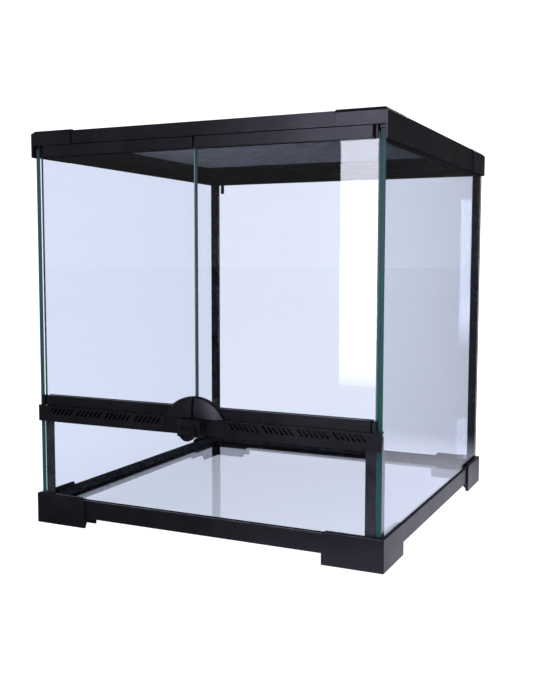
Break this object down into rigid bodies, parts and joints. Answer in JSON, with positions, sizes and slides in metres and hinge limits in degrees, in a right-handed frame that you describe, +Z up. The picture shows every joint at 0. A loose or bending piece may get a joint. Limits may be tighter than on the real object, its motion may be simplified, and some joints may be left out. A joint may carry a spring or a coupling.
{
  "type": "front-opening glass terrarium",
  "caption": "Cube glass tank with two hinged front doors, slotted vent strip with turn lock, lift-off screen lid and footed plastic frame, for small pets.",
  "frame": {"origin": "bottom centre of the whole object, on the surface the feet stand on", "axes": "+Z up, +Y to the back, the doors face -Y, +X to the right seen from the front"},
  "size_m": [0.3064, 0.3184, 0.3255],
  "materials": {
    "base_plastic": "satin moulded black",
    "top_plastic": "satin moulded black",
    "trim_plastic": "satin moulded black",
    "door_plastic": "satin moulded black",
    "knob_plastic": "semi gloss black",
    "lid_plastic": "satin moulded black",
    "clear_glass": "clear float glass with ground green edges",
    "black_silicone": "smooth cured silicone",
    "plated_steel": "zinc plated",
    "screen_wire": "woven wire, dark grey coat"
  },
  "bodies": {
    "tank": {"base_rail_front": "base_plastic", "base_rail_rear": "base_plastic", "base_rail_left": "base_plastic", "base_rail_right": "base_plastic", "foot_front_left": "base_plastic", "foot_front_right": "base_plastic", "foot_rear_left": "base_plastic", "foot_rear_right": "base_plastic", "side_glass_left": "clear_glass", "side_glass_right": "clear_glass", "back_glass": "clear_glass", "lower_front_glass": "clear_glass", "floor_glass": "clear_glass", "floor_seal_front": "black_silicone", "floor_seal_rear": "black_silicone", "floor_seal_left": "black_silicone", "floor_seal_right": "black_silicone", "corner_seal_rear_left": "black_silicone", "corner_seal_rear_right": "black_silicone", "corner_seal_front_left": "black_silicone", "corner_seal_front_right": "black_silicone", "vent_strip": "trim_plastic", "lock_plate": "trim_plastic", "lock_housing": "trim_plastic", "hinge_block_bottom_left": "trim_plastic", "hinge_block_bottom_right": "trim_plastic", "hinge_block_top_left": "trim_plastic", "hinge_block_top_right": "trim_plastic", "hinge_pin_bottom_left": "plated_steel", "hinge_pin_bottom_right": "plated_steel", "hinge_pin_top_left": "plated_steel", "hinge_pin_top_right": "plated_steel", "top_rail_front": "top_plastic", "top_rail_rear": "top_plastic", "top_rail_left": "top_plastic", "top_rail_right": "top_plastic", "top_cap_front_left": "top_plastic", "top_cap_front_right": "top_plastic", "top_cap_rear_left": "top_plastic", "top_cap_rear_right": "top_plastic", "shutter_track": "top_plastic"},
    "door_left": {"door_glass_left": "clear_glass", "door_top_rail_left": "door_plastic", "door_bottom_rail_left": "door_plastic", "door_pull_left": "door_plastic"},
    "door_right": {"door_glass_right": "clear_glass", "door_top_rail_right": "door_plastic", "door_bottom_rail_right": "door_plastic", "door_pull_right": "door_plastic"},
    "lock_knob": {"lock_knob": "knob_plastic"},
    "lock_bolt": {"lock_bolt": "plated_steel"},
    "screen_lid": {"screen_frame": "lid_plastic", "screen_mesh": "screen_wire"},
    "cable_shutter": {"cable_shutter": "top_plastic"}
  },
  "joints": [
    {"name": "door_left_hinge", "type": "hinge", "parent": "tank", "child": "door_left", "pos_m": [-0.1398, -0.144, 0.2], "axis": [0, 0, -1], "range_deg": [0, 105]},
    {"name": "door_right_hinge", "type": "hinge", "parent": "tank", "child": "door_right", "pos_m": [0.1398, -0.144, 0.2], "axis": [0, 0, 1], "range_deg": [0, 105]},
    {"name": "lock_turn", "type": "hinge", "parent": "tank", "child": "lock_knob", "pos_m": [0, -0.156, 0.0912], "axis": [0, -1, 0], "range_deg": [0, 90]},
    {"name": "bolt_lift", "type": "slide", "parent": "tank", "child": "lock_bolt", "axis": [0, 0, 1], "range_m": [0, 0.004]},
    {"name": "lid_lift", "type": "slide", "parent": "tank", "child": "screen_lid", "axis": [0, 0, 1], "range_m": [0, 0.08]},
    {"name": "shutter_slide", "type": "slide", "parent": "tank", "child": "cable_shutter", "axis": [1, 0, 0], "range_m": [0, 0.022]}
  ],
  "couplings": [
    {"joint": "lock_turn", "follows": "bolt_lift", "rad_per_m": 392}
  ]
}
